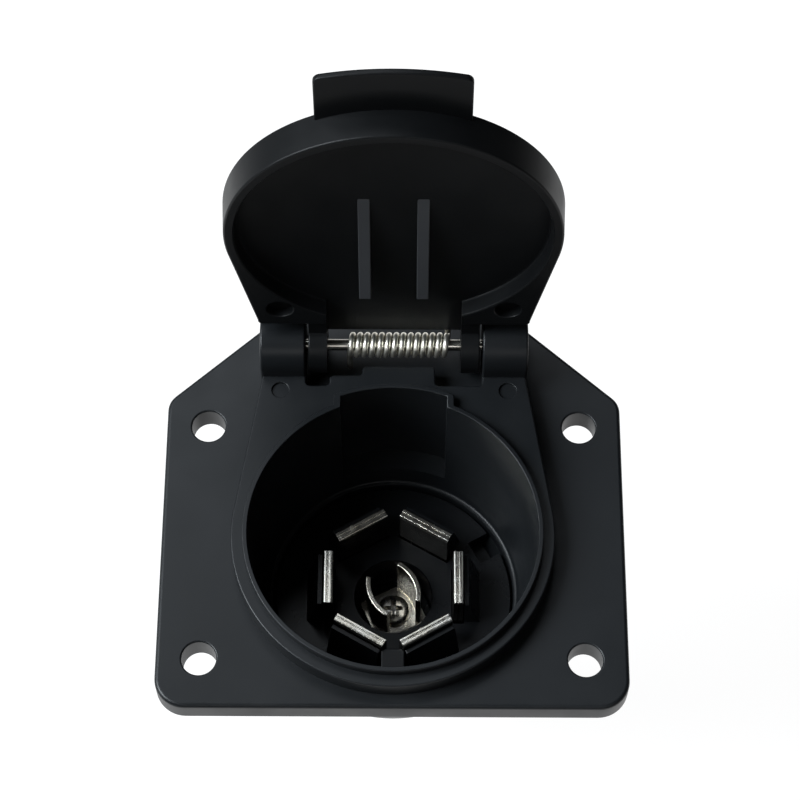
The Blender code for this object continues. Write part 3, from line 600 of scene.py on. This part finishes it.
def make_shell():
    shell = flange_plate()
    lip = plate("lip", [keyed_outline(LIP_RADIUS, KEY_LIP_HALF, KEY_LIP_RADIUS)],
                COLLAR_TOP - 1.5, LIP_TOP, 0.16)
    join(shell, collar(), lip, *rear_body())
    join(shell, knuckle(-1.0), knuckle(1.0))
    cut(shell, cavity())
    cutters = [flared(BOLT_RADIUS, place, -1.0, FLANGE_TOP, 0.3) for place in BOLT_HOLES]
    cutters += [flared(MARK_RADIUS, (sign * MARK[0], MARK[1]), COLLAR_TOP - 0.4, COLLAR_TOP, 0.1)
                for sign in (-1.0, 1.0)]
    cutters += [turned("screw_hole", [(1.6, -28.5), (1.6, -18.4)], 32, False, (sign * LUG_X, 0.0))
                for sign in (-1.0, 1.0)]
    cut(shell, *cutters)
    return dressed(shell, SHELL_PLASTIC, "socket", "black_plastic", "socket_housing")


# ---------------------------------------------------------------- lid

def lid_outline(radius, inset):
    """The lid's teardrop, y from its centre, with its corners drawn in by the inset."""
    half = LID_CORNER_HALF - inset
    away = LID_CENTRE - LID_CORNER_S - inset
    corners = rounded([(0.0, -60.0, 0.0), (half, away, 0.7), (-half, away, 0.7)], 6)[1:]
    return tear_arc(radius, half, away) + corners


def tab_outline():
    """The tab's sides with its end bowed out and its corners rounded, y = -s."""
    centre = TAB_ARC - TAB_END
    reach = math.degrees(math.asin((TAB_HALF - 1.4) / TAB_ARC))
    bow = arc((0.0, centre), TAB_ARC, 270.0 - reach, 270.0 + reach, 24)
    corner = bow[-1][1] + 0.3
    left = rounded([(-TAB_HALF, -LID_CENTRE - 20.0, 0.0), (-TAB_HALF, corner, 1.3), (*bow[0], 0.0)], 10)
    right = rounded([(*bow[-1], 0.0), (TAB_HALF, corner, 1.3), (TAB_HALF, -LID_CENTRE - 20.0, 0.0)], 10)
    return left[:-1] + bow + right[1:]


def rib(x):
    """A wedge on the lid's inner face, tallest towards the hinge."""
    sink = 0.5
    slope = (RIB_SPAN[1] - RIB_SPAN[0]) / (LID_EDGE - 0.05 - LID_CEILING)
    side = [(-RIB_SPAN[1] - sink * slope, -LID_CEILING + sink), (-RIB_SPAN[0], -LID_CEILING + sink),
            (-RIB_SPAN[0], -LID_EDGE + 0.05)]
    return along_x("rib", side, x - RIB_HALF, x + RIB_HALF, 0.12)


def make_ribs():
    """The two wedges inside the lid, whose faces are paler than the rest."""
    for sign in (-1.0, 1.0):
        wedge = moved(rib(sign * RIB_X), opened())
        dressed(wedge, PALE_RIB_PLASTIC, "lid", "black_plastic", "lid")


def opened():
    """From the shut lid's axes x, -s, -n to where it stands open."""
    return Matrix.Translation(HINGE) @ Matrix.Rotation(-math.radians(OPEN_ANGLE), 4, "X")


def make_lid():
    """Drawn shut in x, -s, -n about the hinge, then turned open."""
    edge = 0.35
    depth = LID_EDGE - LID_TOP
    rings = []
    for low, start, finish in ((-LID_EDGE + edge, 180.0, 270.0), (-LID_TOP - edge, 270.0, 360.0)):
        for height, inset in arc((low, edge), edge, start, finish, 5):
            drawn = (height + LID_EDGE) / depth
            radius = LID_RADIUS + (LID_BACK_RADIUS - LID_RADIUS) * drawn - inset
            rings.append([(x, y - LID_CENTRE, height) for x, y in lid_outline(radius, inset)])
    lid = loft("lid_shell", rings)
    tab = plate("tab", [tab_outline()], -TAB_FACE, -LID_TOP - 0.1, 0.3)
    bridge_half = EAR_OUTER - 0.2
    bridge = plate("bridge", [[(-bridge_half, -LID_CORNER_S - 4.0), (bridge_half, -LID_CORNER_S - 4.0),
                               (bridge_half, 0.0), (-bridge_half, 0.0)]],
                   -LID_CEILING - 0.2, -LID_TOP - 0.15, 0.15)
    join(lid, tab, bridge)
    for sign in (-1.0, 1.0):
        low, high = sorted((sign * (EAR_INNER - 0.6), sign * EAR_OUTER))
        ear = along_x("ear", circle(EAR_RADIUS, steps=64), low, high, 0.25)
        web_side = [(-LID_CORNER_S - 3.0, -LID_EDGE + 0.7), (-0.3, -LID_EDGE + 0.7),
                    (-0.3, -LID_TOP - 0.3), (-LID_CORNER_S - 3.0, -LID_TOP - 0.3)]
        join(lid, ear, along_x("ear_web", web_side, low + 0.04, high - 0.04, 0.15))
    floor = -LID_CEILING
    hollow = turned("hollow", [(LID_CAVITY + 1.2, -LID_EDGE - 0.4), (LID_CAVITY + 0.23, -LID_EDGE + 0.02),
                               (LID_CAVITY + 0.06, -LID_EDGE + 0.17), (LID_CAVITY, -LID_EDGE + 0.4),
                               (LID_CAVITY, floor - 0.6), (LID_CAVITY - 0.18, floor - 0.18),
                               (LID_CAVITY - 0.6, floor)], 160, False, (0.0, -LID_CENTRE))
    throat = plate("throat", [[(-EAR_INNER, -LID_CORNER_S - 8.0), (EAR_INNER, -LID_CORNER_S - 8.0),
                               (EAR_INNER, EAR_RADIUS + 1.0), (-EAR_INNER, EAR_RADIUS + 1.0)]],
                   -EAR_RADIUS - 1.0, floor - 0.004)
    gap = plate("spring_gap", [[(-EAR_INNER, -LID_BRIDGE_S), (EAR_INNER, -LID_BRIDGE_S),
                                (EAR_INNER, EAR_RADIUS + 1.5), (-EAR_INNER, EAR_RADIUS + 1.5)]],
                -EAR_RADIUS - 1.5, EAR_RADIUS + 1.0)
    cut(lid, hollow, throat, gap)
    for sign in (-1.0, 1.0):
        recess = flared(RECESS_RADIUS, (sign * RECESS[0], RECESS[1]), LID_EDGE - 1.6, LID_EDGE, 0.2)
        cut(lid, moved(recess, Matrix.Rotation(math.pi, 4, "X")))
    cut(lid, along_x("pin_hole", circle(PIN_HOLE, steps=32), -16.0, 16.0, 0.0))
    groove = [(COIL_SPAN[1] - 0.9, -10.2), (COIL_SPAN[1] + 0.9, -10.2),
              (COIL_SPAN[1] + 0.9, 1.0), (COIL_SPAN[1] - 0.9, 1.0)]
    cut(lid, plate("leg_groove", [groove], 2.3, 5.0))
    moved(lid, opened())
    return dressed(lid, LID_PLASTIC, "lid", "black_plastic", "lid")


# ---------------------------------------------------------------- pin and spring

def make_pin():
    half = PIN_HIGH.x
    profile = [(0.5, -half), (PIN_RADIUS - 0.2, -half), (PIN_RADIUS - 0.05, -half + 0.1),
               (PIN_RADIUS, -half + 0.3), (PIN_RADIUS, half - 0.3), (PIN_RADIUS - 0.05, half - 0.1),
               (PIN_RADIUS - 0.2, half), (0.5, half)]
    pin = turned("hinge_rod", profile, 40)
    moved(pin, Matrix.Translation(HINGE) @ Matrix.Rotation(math.radians(90.0), 4, "Y"))
    return dressed(pin, PIN_STEEL, "socket", "steel", "hinge_pin")


def make_spring():
    """A close coil round the pin: one leg stands on the flange, the other lies on the lid's back."""
    left, right = COIL_SPAN
    points = [(left, -COIL_RADIUS - 0.1, WELL_FLOOR - HINGE.z + WIRE_RADIUS + 0.3),
              (left, -COIL_RADIUS, -2.6), (left, -COIL_RADIUS, -1.3)]
    per_turn = 28
    total = round(COIL_TURNS * per_turn)
    for step in range(total + 1):
        angle = math.radians(180.0 - 360.0 * step / per_turn)
        points.append((left + (right - left) * step / total,
                       COIL_RADIUS * math.cos(angle), COIL_RADIUS * math.sin(angle)))
    lean = math.radians(OPEN_ANGLE)
    for s, n in ((2.2, -3.1), (3.4, -3.35), (9.2, -3.35)):
        points.append((right, -s * math.cos(lean) - n * math.sin(lean),
                       s * math.sin(lean) - n * math.cos(lean)))
    data = bpy.data.curves.new("coil", "CURVE")
    data.dimensions = "3D"
    data.bevel_depth = WIRE_RADIUS
    data.bevel_resolution = 4
    data.use_fill_caps = True
    spline = data.splines.new("POLY")
    spline.points.add(len(points) - 1)
    for point, place in zip(spline.points, points):
        point.co = (*(Vector(place) + HINGE), 1.0)
    holder = bpy.data.objects.new("coil", data)
    bpy.context.scene.collection.objects.link(holder)
    bpy.context.view_layer.update()
    bm = bmesh.new()
    bm.from_mesh(bpy.data.meshes.new_from_object(
        holder.evaluated_get(bpy.context.evaluated_depsgraph_get())))
    bpy.data.objects.remove(holder, do_unlink=True)
    spring = new_object("torsion_spring", bm)
    spring.data.materials.append(SPRING_STEEL)
    spring.data.shade_smooth()
    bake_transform(spring)
    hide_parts("lid_spring")


# ---------------------------------------------------------------- contacts

def make_blade(index):
    """A strip folded double over its tip, with a foot turned in under the terminal screw."""
    inner = BLADE_APOTHEM - BLADE_HALF_THICK
    outer = BLADE_APOTHEM + BLADE_HALF_THICK
    foot_top = BLADE_LOW.z + FOOT_THICK
    tip = BLADE_HIGH.z
    groove = 0.09
    outline = arc((outer - 0.32, tip - 0.32), 0.32, 0.0, 90.0, 6)
    outline += arc((BLADE_APOTHEM + groove + 0.1, tip - 0.1), 0.1, 90.0, 180.0, 3)
    outline += arc((BLADE_APOTHEM - groove - 0.1, tip - 0.1), 0.1, 0.0, 90.0, 3)
    outline += arc((inner + 0.32, tip - 0.32), 0.32, 90.0, 180.0, 6)
    side = plate("blade", [outline + [(inner, foot_top), (outer, foot_top)]],
                 -BLADE_HALF_WIDTH, BLADE_HALF_WIDTH, 0.0)
    moved(side, Matrix.Rotation(math.radians(90.0), 4, "X"))
    seam = plate("seam", [[(BLADE_APOTHEM - 0.07, foot_top - 1.0), (BLADE_APOTHEM + 0.07, foot_top - 1.0),
                           (BLADE_APOTHEM + 0.07, BLADE_HIGH.z - 1.1),
                           (BLADE_APOTHEM - 0.07, BLADE_HIGH.z - 1.1)]], -6.0, 6.0)
    moved(seam, Matrix.Rotation(math.radians(90.0), 4, "X"))
    foot = plate("foot", [rounded([(FOOT_INNER, -FOOT_HALF, 0.8), (outer - 0.05, -FOOT_HALF, 0.3),
                                   (outer - 0.05, FOOT_HALF, 0.3), (FOOT_INNER, FOOT_HALF, 0.8)], 5),
                          circle(1.6, (SCREW_RING, 0.0), 32)[::-1]], BLADE_LOW.z, foot_top + 0.01, 0.2)
    cut(side, seam)
    join(side, foot)
    side.name = "blade_%d" % (index + 1)
    spun(side, index * 360.0 / BLADE_COUNT)
    return dressed(side, TIN, "socket", "tinned_brass", "contact_blade_%d" % (index + 1))


def make_centre_contact():
    """A washer plate under the screw with two curved leaves for the plug's pin."""
    low, high = edges_of("centre_contact")
    base_top = low.z + 0.8
    base = plate("centre_leaves", [rounded([(-4.75, -4.1, 0.7), (4.75, -4.1, 0.7), (4.75, 4.1, 0.7),
                                            (-4.75, 4.1, 0.7)], 5), circle(1.8, steps=40)[::-1]],
                 low.z, base_top, 0.15)
    radius = 7.2
    thick = 0.85
    sweep = math.degrees(math.asin(4.1 / radius))
    for side in (0.0, 180.0):
        middle = polar(4.45 - radius, side)
        ring = arc(middle, radius, side - sweep, side + sweep, 28)
        ring += arc(middle, radius - thick, side + sweep, side - sweep, 28)
        join(base, plate("leaf", [ring], base_top - 0.5, high.z, 0.16))
    spun(base, LEAF_TURN)
    return dressed(base, LEAF_TIN, "socket", "tinned_brass", "centre_contact")


def cross_recess(size, top, depth):
    """A tapered cross for a Phillips driver, pointing down from the top."""
    wings = []
    for turn in (0.0, 90.0):
        rings = []
        for reach, wide, height in ((size, 0.24 * size, top + 0.3), (size, 0.24 * size, top - 0.1),
                                    (0.45 * size, 0.14 * size, top - depth)):
            corners = [(-reach, -wide), (reach, -wide), (reach, wide), (-reach, wide)]
            rings.append([(x, y, height) for x, y in corners])
        wings.append(spun(loft("wing", rings), turn))
    return join(*wings)


def screw(name, node_name, finish, slot):
    """A pan-head machine screw with a cross recess and a rolled thread; only the centre's is head up."""
    low, high = edges_of(node_name)
    middle = 0.5 * (low + high)
    head = 0.5 * (high.x - low.x)
    kind = node_name.split("_")[0]
    length = high.z - low.z
    head_height, shank = SCREW_SIZES[kind]
    profile = [(0.05, length)]
    crown = arc((0.0, 0.0), 1.0, 90.0, 12.0, 10)
    profile += [(head * (0.05 + 0.95 * x), length - head_height * 0.75 * (1.0 - y)) for x, y in crown[1:]]
    profile += [(head, length - head_height + 0.12), (head - 0.12, length - head_height)]
    profile.append((shank - 0.05, length - head_height))
    pitch = 0.7
    turns = int((length - head_height - 0.9) / pitch)
    for index in range(turns):
        start = length - head_height - 0.3 - index * pitch
        profile += [(shank - 0.05, start), (shank - 0.3, start - 0.28),
                    (shank - 0.3, start - 0.42), (shank - 0.05, start - 0.62)]
    profile += [(shank - 0.25, 0.25), (shank - 0.5, 0.0), (0.05, 0.0)]
    made = turned(name, profile, 48)
    cut(made, cross_recess(0.62 * head, length, 0.75 * head_height))
    if kind != "centre":
        moved(made, Matrix.Translation((0.0, 0.0, length)) @ Matrix.Rotation(math.pi, 4, "X"))
    moved(made, Matrix.Translation((middle.x, middle.y, low.z)))
    return dressed(made, finish, "socket", slot, node_name)


def make_nut():
    """The plain hexagonal nut on the centre screw."""
    low, high = edges_of("centre_nut")
    radius = 0.5 * (high.y - low.y) + 0.1
    nut = plate("hex_nut", [arc((0.0, 0.0), radius, 0.0, 360.0, 6)[:-1], circle(1.8, steps=32)[::-1]],
                low.z, high.z, 0.12)
    return dressed(nut, NICKEL, "socket", "steel", "centre_nut")


def make_carrier():
    """Insulator disc with wedge posts behind the blades, a key rib, a notch and the centre well."""
    top = -18.9
    carrier = turned("insulator", [(0.05, top), (20.1, top), (20.3, top - 0.2), (20.3, -19.9), (18.4, -22.7),
                                   (13.6, -22.7), (13.6, -30.8), (13.4, -31.0), (0.05, -31.0)], 144)
    slot_half = BLADE_HALF_WIDTH + 0.3
    slots = []
    for index in range(BLADE_COUNT):
        angle = index * 360.0 / BLADE_COUNT
        wedge = plate("post", [[(11.8, -11.2), (12.8, -11.2), (15.1, top - 1.0), (11.8, top - 1.0)]],
                      -4.7, 4.7, 0.25)
        moved(wedge, Matrix.Rotation(math.radians(90.0), 4, "X"))
        join(carrier, spun(wedge, angle))
        slot_cut = plate("slot", [[(10.0, -slot_half), (12.1, -slot_half), (12.1, slot_half),
                                   (10.0, slot_half)]], -32.0, -10.2)
        slots.append(spun(slot_cut, angle))
        x, y = polar(SCREW_RING, angle)
        slots.append(turned("shank_hole", [(1.6, -32.0), (1.6, -27.9)], 24, False, (x, y)))
    rib = plate("key_rib", [[(12.4, -2.0), (19.8, -2.0), (19.8, 2.0), (12.4, 2.0)]], top - 1.0, -11.4, 0.25)
    join(carrier, spun(rib, -90.0))
    notch = plate("notch", [[(16.2, -2.2), (23.0, -2.2), (23.0, 2.2), (16.2, 2.2)]], top - 3.0, top + 1.0)
    well = turned("well", [(7.1, top + 0.5), (6.75, top - 0.02), (6.6, top - 0.3), (6.6, -27.0),
                           (6.3, -27.3)], 96)
    hole = turned("centre_hole", [(1.8, -26.0), (1.8, -33.0)], 32)
    cut(carrier, spun(notch, 30.0), well, hole, *slots)
    return dressed(carrier, CARRIER_PLASTIC, "socket", "carrier_plastic", "contact_carrier")


# ---------------------------------------------------------------- back of the socket

def make_cover():
    """The rear cover: rim, lugs, tapered barrel with grip flutes, and the neck."""
    cover = turned("back_cover", [
        (14.1, -27.8), (18.0, -27.8), (18.2, -28.0), (18.2, -30.2), (18.0, -30.4), (16.8, -30.4),
        (16.4, -30.8), (16.0, -33.2), (15.7, -34.0), (10.6, -46.0), (9.6, -47.2), (9.0, -48.0),
        (9.0, -54.7), (8.7, -55.0), (7.2, -55.0), (7.0, -54.8), (7.0, -47.1), (8.2, -45.3),
        (14.1, -32.7)], 128, True)
    for sign in (-1.0, 1.0):
        low, high = sorted((sign * 15.6, sign * LUG_X))
        web = plate("cover_web", [[(low, -3.1), (high, -3.1), (high, 3.1), (low, 3.1)]],
                    -30.25, -27.95, 0.2)
        lug = plate("cover_lug", [circle(LUG_RADIUS, (sign * LUG_X, 0.0), 48)], -30.4, -27.8, 0.3)
        join(cover, web, lug)
        cut(cover, turned("lug_hole", [(1.6, -32.0), (1.6, -26.0)], 32, False, (sign * LUG_X, 0.0)))
    flutes = []
    for index in range(24):
        x, y = polar(9.45, 15.0 * index)
        flutes.append(turned("flute", [(0.6, -54.2), (0.6, -48.6)], 16, False, (x, y)))
    cut(cover, *flutes)
    return dressed(cover, COVER_PLASTIC, "socket", "black_plastic", "rear_cover")


def make_grommet():
    top = GROMMET_HIGH.z
    low = GROMMET_LOW.z
    inner = 4.9
    grommet = turned("cord_grommet", [
        (inner, top - 0.3), (inner + 0.3, top), (6.5, top), (6.7, top - 0.3), (6.7, -55.3), (7.8, -55.3),
        (8.0, -55.6), (7.9, -56.4), (7.5, -57.6), (6.9, -58.1), (6.1, low), (inner + 0.3, low),
        (inner, low + 0.3), (inner, -56.2), (inner + 0.35, -55.6), (inner, -55.0), (inner, -53.2),
        (inner + 0.35, -52.6), (inner, -52.0)], 96, True)
    return dressed(grommet, RUBBER, "socket", "rubber", "cable_grommet")


# ---------------------------------------------------------------- stage

# metres from here on; the floor glows near the part and fades to stay out of its reflections
FLOOR_Z = -0.075
FLOOR_GLOW = 0.95
FLOOR_EDGE_GLOW = 0.12
FLOOR_FADE = (0.20, 0.42)
WORLD_GLOW = 0.02
CAMERA_PLACE = (0.0021845, -0.158537, 0.376150)
CAMERA_LENS = 110.67
CAMERA_ELEVATION = 63.571
CAMERA_YAW = 0.361
CAMERA_ROLL = -0.071


def make_camera():
    data = bpy.data.cameras.new("camera")
    data.lens = CAMERA_LENS
    data.sensor_width = 36.0
    data.clip_start = 0.01
    camera = bpy.data.objects.new("camera", data)
    bpy.context.scene.collection.objects.link(camera)
    tilt = Matrix.Rotation(math.radians(90.0 - CAMERA_ELEVATION), 3, "X")
    turn = Matrix.Rotation(math.radians(CAMERA_YAW), 3, "Z") @ tilt
    camera.rotation_mode = "QUATERNION"
    camera.rotation_quaternion = (turn @ Matrix.Rotation(math.radians(CAMERA_ROLL), 3, "Z")).to_quaternion()
    camera.location = CAMERA_PLACE
    bpy.context.scene.camera = camera


def make_floor():
    bm = bmesh.new()
    bmesh.ops.create_grid(bm, x_segments=8, y_segments=8, size=3000.0)
    floor = new_object("floor", bm)
    floor.location.z = FLOOR_Z
    made, tree, shader = shader_tree("pale_floor", (0.1, 0.1, 0.1), 0.9)
    shader.inputs["Emission Color"].default_value = (1.0, 1.0, 1.0, 1.0)
    place = tree.nodes.new("ShaderNodeTexCoord")
    away = node(tree, "ShaderNodeVectorMath", operation="LENGTH")
    tree.links.new(place.outputs["Object"], away.inputs[0])
    glow = spread(tree, away.outputs["Value"], FLOOR_GLOW, FLOOR_EDGE_GLOW, *FLOOR_FADE)
    tree.links.new(glow, shader.inputs["Emission Strength"])
    faint = spread(tree, noise(tree, 6.0, 2.0), 0.0, 1.0)
    tree.links.new(blended(tree, faint, (0.09, 0.09, 0.09), (0.11, 0.11, 0.11)), shader.inputs["Base Color"])
    floor.data.materials.append(made)


def make_light(name, place, width, height, power, colour=(1.0, 1.0, 1.0)):
    """A soft box that faces the origin; lengths in metres, power in watts."""
    data = bpy.data.lights.new(name, "AREA")
    data.shape = "RECTANGLE"
    data.size = width
    data.size_y = height
    data.energy = power
    data.color = colour
    light = bpy.data.objects.new(name, data)
    bpy.context.scene.collection.objects.link(light)
    light.location = place
    light.rotation_mode = "QUATERNION"
    light.rotation_quaternion = (-Vector(place)).to_track_quat("-Z", "Y")


def make_lights():
    make_light("left_softbox", (-0.80, -0.05, 0.75), 0.6, 0.7, 26.0, (0.88, 0.95, 1.0))
    make_light("back_softbox", (-0.35, 0.75, 1.20), 0.9, 0.6, 6.4, (0.88, 0.94, 1.0))
    make_light("front_strip", (0.10, -0.75, 0.60), 1.0, 0.3, 1.3)
    world = bpy.data.worlds.new("studio")
    world.use_nodes = True
    background = world.node_tree.nodes["Background"]
    background.inputs["Color"].default_value = (1.0, 1.0, 1.0, 1.0)
    background.inputs["Strength"].default_value = WORLD_GLOW
    bpy.context.scene.world = world
    bpy.context.scene.view_settings.view_transform = "Standard"


def main():
    make_camera()
    make_floor()
    make_lights()
    make_shell()
    make_lid()
    make_ribs()
    make_pin()
    make_spring()
    make_carrier()
    for index in range(BLADE_COUNT):
        make_blade(index)
        screw("terminal_bolt_%d" % (index + 1), "terminal_screw_%d" % (index + 1), NICKEL, "steel")
    make_centre_contact()
    screw("centre_bolt", "centre_screw", NICKEL, "steel")
    make_nut()
    make_cover()
    make_grommet()
    for index in (1, 2):
        screw("cover_bolt_%d" % index, "cover_screw_%d" % index, NICKEL, "steel")


main()
